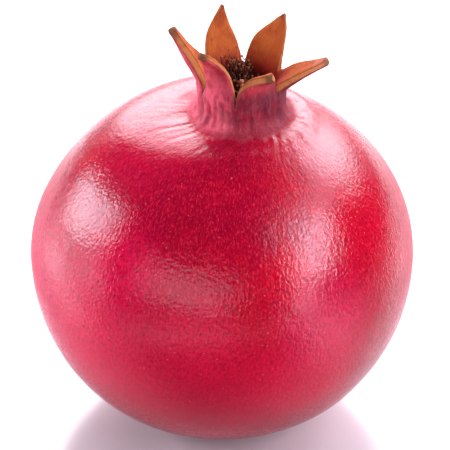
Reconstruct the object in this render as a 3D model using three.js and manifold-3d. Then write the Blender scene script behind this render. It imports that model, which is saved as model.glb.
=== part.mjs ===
// A ripe pomegranate that stands on its stem end, with its dried, open calyx on top.
// Millimetres, +Z up. The origin is under the middle of the fruit, on the surface it stands on.

import * as THREE from 'three';
import * as BufferGeometryUtils from 'three/addons/utils/BufferGeometryUtils.js';
import Module from 'manifold-3d';

// Rind: two half spheroids, each with its own power so that the shoulder is fuller than the base.
const body = {
  radius: 46.2,
  equator: 42.9,
  upper: 41.74,
  upperPower: 1.059,
  lower: 43.3,
  lowerPower: 0.805,
  shoulderDip: 2.2, // the shoulder sinks this far round the calyx
  belly: 0.7, // how far the sides stand out at bellyHeight
  bellyHeight: 41,
  bellyReach: 17,
  rows: 20,
};

// Broad uneven growth of the rind: a flatter cheek and a fuller one.
const swells = [
  { angle: 158, width: 42, height: 62, reach: 10, amount: -0.45 },
  { angle: 22, width: 32, height: 58, reach: 12, amount: 0.5 },
];

// The shoulder stands a little higher at the back.
const backShoulder = {
  angle: 105,
  width: 80,
  radius: 24,
  reach: 11,
  rise: 1.3,
};

// Soft ridges that run from the calyx down over the shoulder.
const ridges = {
  angles: [-124, -38, 30, 92, 160],
  height: 0.55,
  width: 17,
};

// Hollow round the stem, in the middle of the flat spot that the fruit stands on.
const stemEnd = {
  socketRadius: 3.0,
  socketTop: 4.4,
  socketMouth: 3.0,
  hollowRadius: 6.4,
};

// Calyx tube and the cup inside it. The calyx grows a little to one side of the fruit's middle.
const calyx = {
  offset: 4.7,
  filletStart: 15,
  waistRadius: 10.5,
  waistHeight: 84.6,
  rimOuter: 10.7,
  rimInner: 8.1,
  rimHeight: 89.2,
  grooveDepth: 0.45,
  filletRows: 7,
  tubeRows: 3,
  stations: 9, // rings from the rim to a lobe's tip
  columns: 10, // columns across a lobe
};

// Cup wall from the rim to the middle of the floor, as radius and height above the floor.
const cupFloor = 81;
const cupWall = [[7.95, 6.1], [7.75, 3.8], [7.2, 1.7], [5.6, 0.45], [3.0, 0.1]];

// Lobes, anticlockwise from the front. Each starts at its notch, in degrees, which is cut lower by drop.
// It leans out by lean from rise on, and from bend to its tip by curl. It drifts, bows and turns
// sideways, tapers to its tip's half width, thins to its tip's edge, and its sides thin by thin.
const lobes = [
  { notch: -99.6, drop: 1.7, length: 8.0, rise: 0.35, lean: 6, bend: 0.4, curl: 66, drift: 2, bow: -0.2,
    turn: 8, taper: 1.9, blunt: 0.95, tip: 0.9, edge: 2.3, thin: 0.2 },
  { notch: -36, drop: 0.2, length: 13.0, rise: 0.12, lean: 56, bend: 0.3, curl: 63, drift: 0.3, bow: 0,
    turn: 0, taper: 1.7, blunt: 0.8, tip: 1.0, edge: 1.9, thin: 0.35 },
  { notch: 20.4, drop: 0.4, length: 14.8, rise: 0.35, lean: 14, bend: 0.4, curl: 8, drift: -3.7, bow: 0,
    turn: 0, taper: 2.05, blunt: 0.95, tip: 0.35, edge: 1.4, thin: 0.45 },
  { notch: 87, drop: 1.0, length: 15.0, rise: 0.35, lean: 18, bend: 0.4, curl: 6, drift: -0.9, bow: 0.5,
    turn: 0, taper: 2.4, blunt: 1.1, tip: 0.35, edge: 1.4, thin: 0.45 },
  { notch: 147, drop: 0.4, length: 15.8, rise: 0.22, lean: 30, bend: 0.4, curl: 27, drift: 0.4, bow: 0,
    turn: 12, taper: 2.6, blunt: 0.8, tip: 1.3, edge: 2.1, thin: 0.25 },
  { notch: 208.5, drop: 0.5, length: 14.8, rise: 0.35, lean: 15, bend: 0.4, curl: 47, drift: -0.7, bow: 0.4,
    turn: 0, taper: 1.75, blunt: 0.95, tip: 1.3, edge: 1.8, thin: 0.45 },
];

// Dried stamens: a matted core and the filaments that stand out of it.
const tuft = {
  count: 58,
  coreRadius: 7.1,
  coreTop: 84.2,
  innerRadius: 2.6,
  outerRadius: 6.7,
  filament: 0.4,
  anther: 0.55,
  low: 3.2,
  high: 6.0,
  backRise: 8.5, // how much longer the filaments are along the back wall
  clearance: 0.35,
};

// Style with its stigma knob.
const style = {
  radius: 0.6,
  foot: 82.4,
  top: 90.2,
  knob: 0.95,
};

const stub = {
  radius: 2.6,
  top: 4.1,
  end: 0.7,
};

const finishes = {
  rind: { color: 0xa3122f, roughness: 0.32, metalness: 0 },
  stamens: { color: 0x5a3420, roughness: 0.85, metalness: 0 },
  style: { color: 0xb98a5e, roughness: 0.8, metalness: 0 },
  stem: { color: 0x6b4a33, roughness: 0.9, metalness: 0 },
};

const wasm = await Module();
wasm.setup();

function smoothstep(low, high, value) {
  const t = Math.min(Math.max((value - low) / (high - low), 0), 1);
  return t * t * (3 - 2 * t);
}

function lerp(from, to, t) {
  return from + (to - from) * t;
}

// A steady stream of numbers from 0 to 1, so that the tuft is the same each time.
function seededRandom(seed) {
  let state = seed;
  return () => {
    state = (state * 1664525 + 1013904223) % 4294967296;
    return state / 4294967296;
  };
}

function bezier(points, t) {
  const s = 1 - t;
  const weights = [s * s * s, 3 * s * s * t, 3 * s * t * t, t * t * t];
  const out = [0, 0];
  points.forEach((point, i) => {
    out[0] += point[0] * weights[i];
    out[1] += point[1] * weights[i];
  });
  return out;
}

// Radius and height of the rind at latitude u, from -PI/2 at the base to PI/2 at the top.
function rindAt(u) {
  const isUpper = u > 0;
  const power = isUpper ? body.upperPower : body.lowerPower;
  const radius = body.radius * Math.cos(u) ** power;
  const reach = isUpper ? body.upper : body.lower;
  const dip = isUpper ? body.shoulderDip * (1 - smoothstep(9.5, 22, radius)) : 0;
  return [radius, body.equator + reach * Math.sin(u) - dip];
}

// Latitude where the upper rind has the given radius.
function latitudeOf(radius) {
  return Math.acos((radius / body.radius) ** (1 / body.upperPower));
}

// Outer profile from the edge of the flat spot to the waist of the tube.
function outerProfile() {
  const first = -Math.asin(body.equator / body.lower);
  const last = latitudeOf(calyx.filletStart);
  const profile = [];
  for (let i = 0; i <= body.rows; i++) {
    profile.push(rindAt(lerp(first, last, i / body.rows)));
  }
  const start = profile[profile.length - 1];
  const before = rindAt(last - 0.002);
  const slope = [start[0] - before[0], start[1] - before[1]];
  const size = Math.hypot(...slope);
  const pull = (start[0] - calyx.waistRadius) * 0.62 / size;
  const waist = [calyx.waistRadius, calyx.waistHeight];
  const fillet = [
    start,
    [start[0] + slope[0] * pull, start[1] + slope[1] * pull],
    [waist[0] + 0.1, waist[1] - 2.2],
    waist,
  ];
  for (let i = 1; i <= calyx.filletRows; i++) {
    profile.push(bezier(fillet, i / calyx.filletRows));
  }
  return profile;
}

function angleBetween(a, b) {
  return Math.abs(((a - b + 540) % 360 + 360) % 360 - 180);
}

// From 1 at the middle of a hump to nothing well away from it.
function hump(distance, reach) {
  return Math.exp(-((distance / reach) ** 2));
}

// How far the ridges, the belly and the swells move the rind out at this angle, radius and height.
function growthOut(degrees, radius, height) {
  let lift = -0.45;
  for (const angle of ridges.angles) {
    lift += hump(angleBetween(degrees, angle), ridges.width);
  }
  const upward = smoothstep(8, 50, height) * smoothstep(11, 22, radius);
  let round = body.belly * hump(height - body.bellyHeight, body.bellyReach);
  for (const { angle, width, height: middle, reach, amount } of swells) {
    round += amount * hump(angleBetween(degrees, angle), width) * hump(height - middle, reach);
  }
  return lift * ridges.height * upward + round * smoothstep(17, 23, radius);
}

// How much higher the shoulder stands at this angle, radius and height.
function shoulderLift(degrees, radius, height) {
  const { angle, width, radius: middle, reach, rise } = backShoulder;
  const lift = hump(angleBetween(degrees, angle), width) * hump(radius - middle, reach);
  return height > body.equator ? rise * lift : 0;
}

// How far the tube sinks in, in line with each notch.
function grooveDepth(degrees, height) {
  let depth = 0;
  for (const lobe of lobes) {
    depth += hump(angleBetween(degrees, lobe.notch), 7);
  }
  const along = smoothstep(79, 84, height) * (1 - smoothstep(87.5, calyx.rimHeight, height));
  return depth * calyx.grooveDepth * along;
}

// Angle of the notch where lobe k ends.
function endNotch(k) {
  return k + 1 < lobes.length ? lobes[k + 1].notch : lobes[0].notch + 360;
}

function columnAngles() {
  const angles = [];
  lobes.forEach((lobe, k) => {
    const next = endNotch(k);
    for (let j = 0; j < calyx.columns; j++) {
      angles.push(lerp(lobe.notch, next, j / calyx.columns));
    }
  });
  return angles;
}

// Middle line of a lobe: how far out and up it has come, and how far it leans, at s from 0 to 1.
function lobeSpine(lobe, s) {
  const leanAt = (t) => {
    const first = lobe.lean * smoothstep(0, lobe.rise, t);
    const second = (lobe.curl - lobe.lean) * smoothstep(lobe.bend, 1, t);
    return THREE.MathUtils.degToRad(first + second);
  };
  const steps = 40;
  const step = s * lobe.length / steps;
  let out = 0;
  let up = 0;
  for (let i = 0; i < steps; i++) {
    const lean = leanAt(s * (i + 0.5) / steps);
    out += Math.sin(lean) * step;
    up += Math.cos(lean) * step;
  }
  return { out, up, lean: leanAt(s) };
}

// A point of lobe k: s runs from the rim to the tip, a across from -1 to 1, skin is -1 on the inner
// face and 1 on the outer.
function lobePoint(k, s, a, skin) {
  const lobe = lobes[k];
  const next = endNotch(k);
  const middle = THREE.MathUtils.degToRad((lobe.notch + next) / 2);
  const halfAngle = THREE.MathUtils.degToRad((next - lobe.notch) / 2);
  const ringRadius = (calyx.rimOuter + calyx.rimInner) / 2;
  const wall = calyx.rimOuter - calyx.rimInner;
  const spine = lobeSpine(lobe, s);
  const narrowing = (1 - s ** lobe.taper) ** lobe.blunt * (1 - 0.05 * smoothstep(0, 0.15, s));
  const halfWidth = lerp(lobe.tip, ringRadius * halfAngle, narrowing);
  const curvature = (1 - 0.45 * smoothstep(0, 1, s)) / ringRadius;
  const thinned = 1 - lobe.thin * Math.abs(a) ** 6 * smoothstep(0, 0.2, s);
  const offset = skin * thinned * lerp(wall, lobe.edge, smoothstep(0, 1, s)) / 2;
  const turn = a * halfWidth * curvature;
  const flatAcross = Math.sin(turn) * (1 / curvature + offset);
  const flatOutward = Math.cos(turn) * (1 / curvature + offset) - 1 / curvature;
  const rolled = THREE.MathUtils.degToRad(lobe.turn) * smoothstep(0.05, 0.7, s);
  const sideways = lobe.drift * s * s + lobe.bow * 4 * s * (1 - s);
  const across = flatAcross * Math.cos(rolled) + flatOutward * Math.sin(rolled) + sideways;
  const outward = flatOutward * Math.cos(rolled) - flatAcross * Math.sin(rolled);
  const radial = ringRadius + spine.out + outward * Math.cos(spine.lean);
  const notchDrop = lobe.drop * smoothstep(0.45, 1, -a) ** 2
    + lobes[(k + 1) % lobes.length].drop * smoothstep(0.45, 1, a) ** 2;
  const lowered = notchDrop * (1 - smoothstep(0, 0.4, s));
  const height = calyx.rimHeight + spine.up - outward * Math.sin(spine.lean) - lowered;
  return [
    calyx.offset + radial * Math.cos(middle) - across * Math.sin(middle),
    radial * Math.sin(middle) + across * Math.cos(middle),
    height,
  ];
}

// Gathers points and triangles into one closed mesh.
class Shell {
  constructor() {
    this.points = [];
    this.faces = [];
  }

  point(xyz) {
    this.points.push(...xyz);
    return this.points.length / 3 - 1;
  }

  quad(a, b, c, d) {
    this.faces.push(a, b, c, a, c, d);
  }

  // Joins two closed rows of the same length. The lower row comes first on an outer wall.
  band(lower, upper) {
    for (let i = 0; i < lower.length; i++) {
      const j = (i + 1) % lower.length;
      this.quad(lower[i], lower[j], upper[j], upper[i]);
    }
  }

  // Closes a row round its middle point. The row runs anticlockwise seen from outside.
  fan(middle, row) {
    for (let i = 0; i < row.length; i++) {
      this.faces.push(middle, row[i], row[(i + 1) % row.length]);
    }
  }

  geometry() {
    const geometry = new THREE.BufferGeometry();
    geometry.setAttribute('position', new THREE.Float32BufferAttribute(this.points, 3));
    geometry.setIndex(this.faces);
    geometry.computeVertexNormals();
    return geometry;
  }
}

// A point of the rind or the tube's outside.
function rindPoint(degrees, radius, height, offset) {
  const angle = THREE.MathUtils.degToRad(degrees);
  const lifted = radius + growthOut(degrees, radius, height) - grooveDepth(degrees, height);
  const raised = height + shoulderLift(degrees, radius, height);
  return [offset + lifted * Math.cos(angle), lifted * Math.sin(angle), raised];
}

function ring(shell, angles, radius, height, offset = 0) {
  return angles.map((degrees) => shell.point(rindPoint(degrees, radius, height, offset)));
}

function addLobe(shell, k, outerRim, innerRim) {
  const { columns, stations } = calyx;
  const total = outerRim.length;
  const wrap = (j) => (k * columns + j) % total;
  const loopAt = (s) => {
    const loop = [];
    for (let j = 0; j <= columns; j++) {
      loop.push(shell.point(lobePoint(k, s, lerp(-1, 1, j / columns), 1)));
    }
    for (let j = columns; j >= 0; j--) {
      loop.push(shell.point(lobePoint(k, s, lerp(-1, 1, j / columns), -1)));
    }
    return loop;
  };
  let below = [];
  for (let j = 0; j <= columns; j++) {
    below.push(outerRim[wrap(j)]);
  }
  for (let j = columns; j >= 0; j--) {
    below.push(innerRim[wrap(j)]);
  }
  for (let i = 1; i <= stations; i++) {
    const above = loopAt(1 - (1 - i / stations) ** 1.35);
    shell.band(below, above);
    below = above;
  }
  for (let j = 0; j < columns; j++) {
    shell.quad(below[j], below[j + 1], below[2 * columns - j], below[2 * columns + 1 - j]);
  }
}

function buildFruit() {
  const shell = new Shell();
  const angles = columnAngles();
  const { socketRadius, socketTop, socketMouth, hollowRadius } = stemEnd;

  // Underside: socket of the stem, hollow round it, then the flat spot.
  const top = shell.point([0, 0, socketTop]);
  const rows = [ring(shell, angles, socketRadius, socketTop), ring(shell, angles, socketRadius, socketMouth)];
  rows.push(ring(shell, angles, (socketRadius + hollowRadius) / 2, socketMouth * 0.62));
  rows.push(ring(shell, angles, hollowRadius, 0));
  shell.fan(top, rows[0].slice().reverse());

  // Rind and tube.
  for (const [radius, height] of outerProfile()) {
    const isRind = height < body.equator;
    const offset = isRind ? 0 : calyx.offset * (1 - smoothstep(12, 25, radius));
    rows.push(ring(shell, angles, radius, Math.max(height, 0), offset));
  }
  const { columns, waistRadius, waistHeight, tubeRows } = calyx;
  const rimPoint = (i, skin) => {
    const k = Math.floor(i / columns);
    return lobePoint(k, 0, lerp(-1, 1, (i % columns) / columns), skin);
  };
  for (let i = 1; i < tubeRows; i++) {
    rows.push(angles.map((degrees, j) => {
      const waist = rindPoint(degrees, waistRadius, waistHeight, calyx.offset);
      const rim = rimPoint(j, 1);
      return shell.point(waist.map((value, axis) => lerp(value, rim[axis], i / tubeRows)));
    }));
  }
  const outerRim = angles.map((_, i) => shell.point(rimPoint(i, 1)));
  rows.push(outerRim);
  for (let i = 1; i < rows.length; i++) {
    shell.band(rows[i - 1], rows[i]);
  }

  // Lobes, then the cup inside the tube.
  const innerRim = angles.map((_, i) => shell.point(rimPoint(i, -1)));
  for (let k = 0; k < lobes.length; k++) {
    addLobe(shell, k, outerRim, innerRim);
  }
  let above = innerRim;
  for (const [radius, rise] of cupWall) {
    const below = angles.map((degrees) => {
      const angle = THREE.MathUtils.degToRad(degrees);
      return shell.point([calyx.offset + radius * Math.cos(angle), radius * Math.sin(angle), cupFloor + rise]);
    });
    shell.band(above, below);
    above = below;
  }
  shell.fan(shell.point([calyx.offset, 0, cupFloor]), above);
  return shell.geometry();
}

function toSolid(geometry) {
  const plain = geometry.clone();
  plain.deleteAttribute('normal');
  plain.deleteAttribute('uv');
  const merged = BufferGeometryUtils.mergeVertices(plain, 1e-4);
  return new wasm.Manifold(new wasm.Mesh({
    numProp: 3,
    vertProperties: new Float32Array(merged.attributes.position.array),
    triVerts: new Uint32Array(merged.index.array),
  }));
}

function toGeometry(solid) {
  const mesh = solid.getMesh();
  const geometry = new THREE.BufferGeometry();
  geometry.setAttribute('position', new THREE.Float32BufferAttribute(mesh.vertProperties, 3));
  geometry.setIndex(Array.from(mesh.triVerts));
  geometry.computeVertexNormals();
  return geometry;
}

// A round solid about the calyx's middle line, from a profile that starts and ends on the axis.
function turned(profile, sides) {
  const points = profile.map(([radius, height]) => new THREE.Vector2(radius, height));
  const geometry = new THREE.LatheGeometry(points, sides);
  geometry.rotateX(Math.PI / 2);
  return geometry;
}

// One dried filament: a bent three-sided stalk that ends in an anther.
function filament(random) {
  const turn = random() * 2 * Math.PI;
  const spread = Math.sqrt(random());
  const radius = lerp(tuft.innerRadius, tuft.outerRadius, spread);
  const back = Math.max(Math.sin(turn), 0) * smoothstep(0.4, 1, spread);
  const reach = lerp(tuft.low, tuft.high, random()) + tuft.backRise * back * back * random();
  const bend = lerp(0.8, 2.6, random());
  const bendTurn = random() * 2 * Math.PI;
  const path = [];
  const steps = 4;
  for (let i = 0; i <= steps; i++) {
    const t = i / steps;
    const sway = bend * Math.sin(t * 2.4);
    const x = radius * Math.cos(turn) + sway * Math.cos(bendTurn + t);
    const y = radius * Math.sin(turn) + sway * Math.sin(bendTurn + t);
    const limit = tuft.outerRadius + 0.35;
    const size = Math.max(Math.hypot(x, y) / limit, 1);
    path.push(new THREE.Vector3(x / size, y / size, tuft.coreTop - 1 + t * (reach + 1)));
  }
  const stalk = new THREE.Shape();
  for (let i = 0; i < 3; i++) {
    const angle = i * 2 * Math.PI / 3;
    const x = tuft.filament * Math.cos(angle);
    const y = tuft.filament * Math.sin(angle);
    if (i === 0) {
      stalk.moveTo(x, y);
    } else {
      stalk.lineTo(x, y);
    }
  }
  const curve = new THREE.CatmullRomCurve3(path);
  const rod = new THREE.ExtrudeGeometry(stalk, { steps: 4, bevelEnabled: false, extrudePath: curve });
  const anther = new THREE.OctahedronGeometry(tuft.anther);
  anther.scale(1, 1, 1.35);
  anther.rotateY(bend);
  anther.translate(...path[steps].toArray());
  return [rod, anther];
}

function buildStamens() {
  const random = seededRandom(41);
  const { coreRadius, coreTop } = tuft;
  const bottom = cupFloor + 0.45;
  const core = turned([
    [0, bottom],
    [4.9, bottom + 0.25],
    [6.5, bottom + 1.3],
    [coreRadius, bottom + 2.6],
    [coreRadius - 1.6, coreTop],
    [2.6, coreTop + 0.3],
    [0, coreTop + 0.2],
  ], 24);
  let solid = toSolid(core);
  for (let i = 0; i < tuft.count; i++) {
    for (const piece of filament(random)) {
      solid = solid.add(toSolid(piece));
    }
  }
  const hole = style.radius + tuft.clearance;
  const above = style.top + style.knob + 8;
  const shaft = turned([[0, style.foot - 0.3], [hole, style.foot - 0.3], [hole, above], [0, above]], 12);
  const knobRoom = new THREE.IcosahedronGeometry(style.knob + tuft.clearance, 1);
  knobRoom.translate(0, 0, style.top);
  solid = solid.subtract(toSolid(shaft)).subtract(toSolid(knobRoom));
  const parts = solid.decompose().sort((a, b) => b.volume() - a.volume());
  return toGeometry(parts[0]);
}

function buildStyle() {
  const { radius, foot, top, knob } = style;
  return turned([
    [0, foot],
    [radius, foot],
    [radius * 0.85, lerp(foot, top, 0.6)],
    [radius * 0.9, top - knob],
    [knob * 0.9, top - knob * 0.45],
    [knob, top],
    [knob * 0.62, top + knob * 0.7],
    [0, top + knob * 0.85],
  ], 12);
}

function buildStub() {
  const { radius, top, end } = stub;
  return turned([
    [0, end],
    [radius * 0.9, end],
    [radius, end + 0.4],
    [radius, top],
    [0, top],
  ], 20);
}

function namedMesh(name, geometry, finish) {
  const mesh = new THREE.Mesh(geometry, new THREE.MeshStandardMaterial(finish));
  mesh.name = name;
  return mesh;
}

const pomegranate = new THREE.Group();
pomegranate.add(namedMesh('fruit', buildFruit(), finishes.rind));
pomegranate.add(namedMesh('stem_stub', buildStub(), finishes.stem));

const flower = new THREE.Group();
flower.position.x = calyx.offset;
flower.add(namedMesh('stamens', buildStamens(), finishes.stamens));
flower.add(namedMesh('style', buildStyle(), finishes.style));
pomegranate.add(flower);

export default pomegranate;
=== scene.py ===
import math

import bpy
import numpy as np
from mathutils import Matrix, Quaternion, Vector


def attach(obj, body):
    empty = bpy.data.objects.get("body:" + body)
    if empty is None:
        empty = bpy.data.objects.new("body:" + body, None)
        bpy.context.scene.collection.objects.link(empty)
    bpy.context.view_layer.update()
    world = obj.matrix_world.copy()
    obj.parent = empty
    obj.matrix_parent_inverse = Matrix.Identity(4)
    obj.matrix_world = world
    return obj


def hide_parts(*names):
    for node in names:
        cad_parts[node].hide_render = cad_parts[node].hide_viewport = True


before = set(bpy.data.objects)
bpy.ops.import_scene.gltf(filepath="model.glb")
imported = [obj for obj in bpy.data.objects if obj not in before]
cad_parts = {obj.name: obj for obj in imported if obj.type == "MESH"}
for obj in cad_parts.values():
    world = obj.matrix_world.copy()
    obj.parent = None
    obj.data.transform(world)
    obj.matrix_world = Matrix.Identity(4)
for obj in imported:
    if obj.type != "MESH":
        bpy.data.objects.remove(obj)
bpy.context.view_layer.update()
mm = 0.001  # shapes are worked out in millimetres and built in metres
print("frame loaded")


# the camera looks down on the fruit from the front
view = {
    "elevation": 31.0,  # degrees above the table
    "distance": 0.65,  # in metres, as aim and reach are
    "aim": (0.00075, 0.0, 0.0503),
    "lens": 213.6,
    "reach": 10.0,
}


def makeCamera():
    up = math.radians(view["elevation"])
    towards = Vector((0.0, -math.cos(up), math.sin(up)))
    camera = bpy.data.cameras.new("camera")
    camera.lens = view["lens"]
    camera.clip_end = view["reach"]
    holder = bpy.data.objects.new("camera", camera)
    bpy.context.collection.objects.link(holder)
    holder.location = Vector(view["aim"]) + towards * view["distance"]
    holder.rotation_euler = (-towards).to_track_quat("-Z", "Y").to_euler()
    bpy.context.scene.camera = holder


makeCamera()
print("camera placed")


# small maths that the shapes share
noiseTable = {"size": 8192, "mix": (73856093, 19349663, 83492791)}


def smoothStep(low, high, value):
    t = np.clip((np.asarray(value, float) - low) / (high - low), 0.0, 1.0)
    return t * t * (3 - 2 * t)


def blend(a, b, t):
    return a + (b - a) * t


def angleGap(a, b):  # degrees between two directions
    return np.abs((np.asarray(a) - b + 180.0) % 360.0 - 180.0)


def bezier(points, t):
    t = np.asarray(t)[:, None]
    s = 1 - t
    p = [np.array(q) for q in points]
    return s ** 3 * p[0] + 3 * s * s * t * p[1] + 3 * s * t * t * p[2] + t ** 3 * p[3]


def softNoise(points, size, seed):  # smooth noise from -1 to 1, with lumps of about the given size
    table = np.random.default_rng(seed).uniform(-1, 1, noiseTable["size"])
    place = np.asarray(points, float) / size
    cell = np.floor(place).astype(np.int64)
    part = place - cell
    part = part * part * (3 - 2 * part)
    total = np.zeros(len(place))
    for corner in range(8):
        step = np.array([corner & 1, corner >> 1 & 1, corner >> 2 & 1])
        x, y, z = ((cell + step) * noiseTable["mix"]).T
        weight = np.prod(np.where(step == 1, part, 1 - part), axis=1)
        total += table[(x ^ y ^ z) & (noiseTable["size"] - 1)] * weight
    return total


# the fruit: rind, calyx tube and lobes, grown as one
rind = {
    "radius": 46.2, "equator": 42.9, "upper": 41.74, "upperPower": 1.059,
    "lower": 43.3, "lowerPower": 0.805, "rows": 150,
    "shoulderDip": 2.2, "dipFrom": (9.5, 22),
    "ridgeAngles": (-124, -38, 30, 92, 160), "ridgeHeight": 0.55, "ridgeWidth": 17, "ridgeMean": 0.45,
    "ridgeFoot": (8, 50), "ridgeTop": (11, 22),
    "belly": 0.7, "bellyHeight": 41.0, "bellyReach": 17.0, "bellyTop": (17, 23),
    "swells": ((158, 42, 62, 10, -0.45), (22, 32, 58, 12, 0.5)),  # angle, width, height, reach, amount
    "shoulder": 1.3, "shoulderAngle": 105, "shoulderWidth": 80,
    "shoulderRadius": 24.0, "shoulderReach": 11.0,
}
stemEnd = {
    "socketRadius": 3.0, "socketTop": 4.4, "socketMouth": 3.0, "capShare": 0.6,
    "hollowRadius": 6.4, "hollowRows": 8, "hollowStart": 0.12, "hollowPower": 0.8, "hollowEase": 0.2,
    "middleMark": -8,  # how far along the growth its middle is, from the ring that the fruit stands on
}
calyx = {
    "offset": 4.7, "offsetFrom": (12, 25), "filletStart": 15.0, "filletPull": 0.62, "waistPull": (0.1, -2.2),
    "waistRadius": 10.5, "waistHeight": 84.6, "rimOuter": 10.7, "rimInner": 8.1, "rimHeight": 89.2,
    "cupFloor": 81.0, "filletRows": 22, "tubeRows": 12, "columns": 46, "stations": 26, "sideRows": 3,
    "cupWall": ((7.95, 6.1), (7.75, 3.8), (7.2, 1.7), (5.6, 0.45), (3.0, 0.1)),  # radius, height in the cup
    "grooves": (  # angle, depth, width
        (-99.6, 0.5, 5), (-36, 0.5, 5), (20.4, 0.45, 5), (87, 0.5, 5), (147, 0.45, 5), (208.5, 0.5, 4),
        (-136, 0.5, 3), (-126, 0.45, 2.5), (-115, 0.45, 3), (-61, 0.35, 3), (-80, 0.3, 3), (-48, 0.3, 3),
        (-12, 0.3, 4), (2, 0.2, 3), (48, 0.3, 4), (64, 0.2, 3), (110, 0.35, 4), (125, 0.2, 3),
        (168, 0.3, 4), (186, 0.25, 3)),
    "grooveFoot": (80.6, 83.5), "grooveTop": (86.5, 89.2), "grooveFade": 0.75, "reliefPower": 6,
    "toes": (  # angle, how far it stands out
        (-141, 0.55), (-67, 0.5), (-108, 0.25), (-20, 0.45), (35, 0.4), (75, 0.5), (130, 0.45), (176, 0.5)),
    "toeFrom": 79, "toeHeight": 82.4, "toeReach": 1.5, "toeWidth": 8,
}
lobes = (  # front right, right, back right, back left, left and front left; each starts at its notch's angle
    {"notch": -99.6, "drop": 1.7, "length": 8.0, "rise": 0.35, "lean": 6, "bend": 0.4,
     "curl": 66, "drift": 2.0, "bow": -0.2, "turn": 8, "taper": 1.9, "blunt": 0.95, "tip": 0.9, "edge": 2.3,
     "thin": 0.2},
    {"notch": -36, "drop": 0.2, "length": 13.0, "rise": 0.12, "lean": 56, "bend": 0.3,
     "curl": 63, "drift": 0.3, "bow": 0, "turn": 0, "taper": 1.7, "blunt": 0.8, "tip": 1.0, "edge": 1.9,
     "thin": 0.35},
    {"notch": 20.4, "drop": 0.4, "length": 14.8, "rise": 0.35, "lean": 14, "bend": 0.4,
     "curl": 8, "drift": -3.7, "bow": 0, "turn": 0, "taper": 2.05, "blunt": 0.95, "tip": 0.35, "edge": 1.2,
     "thin": 0.6},
    {"notch": 87, "drop": 1.6, "length": 15.0, "rise": 0.35, "lean": 18, "bend": 0.4,
     "curl": 6, "drift": -0.9, "bow": 0.5, "turn": 0, "taper": 2.4, "blunt": 1.1, "tip": 0.3, "edge": 1.2,
     "thin": 0.6},
    {"notch": 147, "drop": 0.4, "length": 15.8, "rise": 0.22, "lean": 30, "bend": 0.4,
     "curl": 27, "drift": 0.4, "bow": 0, "turn": 12, "taper": 2.6, "blunt": 0.8, "tip": 1.3, "edge": 2.1,
     "thin": 0.25},
    {"notch": 208.5, "drop": 0.5, "length": 14.8, "rise": 0.35, "lean": 15, "bend": 0.4,
     "curl": 47, "drift": -0.7, "bow": 0.4, "turn": 0, "taper": 1.75, "blunt": 0.95, "tip": 1.3, "edge": 1.8,
     "thin": 0.5},
)
lobeForm = {  # places along a lobe are shares of its length, and across it of its half-width
    "spineSteps": 40, "pinch": 0.05, "pinchBy": 0.15, "unroll": 0.45, "thinPower": 6, "thinBy": 0.2,
    "rollFrom": (0.05, 0.7), "dropFrom": 0.45, "dropBy": 0.4, "crowding": 1.35, "edgeBulge": 0.03,
    "tipRings": (0.9, 0.68, 0.36), "tipDepth": 0.28,  # shares of the last row, and of its thickness
    "tipEdge": 0.8,  # the tip is marked as edge, at least so far
}


def rindAt(u):  # radius and height at latitude u
    u = np.asarray(u, float)
    upper = u > 0
    power = np.where(upper, rind["upperPower"], rind["lowerPower"])
    radius = rind["radius"] * np.cos(u) ** power
    dip = np.where(upper, rind["shoulderDip"] * (1 - smoothStep(*rind["dipFrom"], radius)), 0)
    height = rind["equator"] + np.where(upper, rind["upper"], rind["lower"]) * np.sin(u) - dip
    return np.stack([radius, height], -1)


def outerProfile():
    first = -math.asin(rind["equator"] / rind["lower"])
    last = math.acos((calyx["filletStart"] / rind["radius"]) ** (1 / rind["upperPower"]))
    body = rindAt(np.linspace(first, last, rind["rows"] + 1))
    slope = body[-1] - rindAt(last - 0.002)  # a short step back gives the slope
    slope /= np.hypot(*slope)
    waist = np.array([calyx["waistRadius"], calyx["waistHeight"]])
    pull = (body[-1][0] - waist[0]) * calyx["filletPull"]
    bend = [body[-1], body[-1] + slope * pull, waist + calyx["waistPull"], waist]
    fillet = bezier(bend, np.linspace(0, 1, calyx["filletRows"] + 1)[1:])
    return np.concatenate([body, fillet])


def ridgeLift(angles, radius, height):
    lift = sum(np.exp(-(angleGap(angles, a) / rind["ridgeWidth"]) ** 2) for a in rind["ridgeAngles"])
    ridges = (lift - rind["ridgeMean"]) * rind["ridgeHeight"]
    ridges = ridges * smoothStep(*rind["ridgeFoot"], height) * smoothStep(*rind["ridgeTop"], radius)
    belly = rind["belly"] * math.exp(-((height - rind["bellyHeight"]) / rind["bellyReach"]) ** 2)
    for angle, width, middle, reach, amount in rind["swells"]:
        across = np.exp(-(angleGap(angles, angle) / width) ** 2)
        belly = belly + amount * across * math.exp(-((height - middle) / reach) ** 2)
    return ridges + belly * smoothStep(*rind["bellyTop"], radius)


def tubeRelief(angles, height):  # grooves down the tube, and the toes that they leave at its foot
    faded = 1 - calyx["grooveFade"] * smoothStep(*calyx["grooveTop"], height)
    onTube = smoothStep(*calyx["grooveFoot"], height) * faded
    lift = np.zeros(len(angles))
    for angle, depth, width in calyx["grooves"]:
        lift -= depth * np.exp(-(angleGap(angles, angle) / width) ** 2)
    lift = lift * onTube
    foot = np.exp(-((height - calyx["toeHeight"]) / calyx["toeReach"]) ** 2)
    for angle, size in calyx["toes"]:
        lift += size * foot * np.exp(-(angleGap(angles, angle) / calyx["toeWidth"]) ** 2)
    return lift


def columnAngles():
    angles = []
    for k, lobe in enumerate(lobes):
        angles.append(np.linspace(lobe["notch"], nextNotch(k), calyx["columns"], endpoint=False))
    return np.concatenate(angles)


def nextNotch(k):
    return lobes[k + 1]["notch"] if k + 1 < len(lobes) else lobes[0]["notch"] + 360


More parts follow.
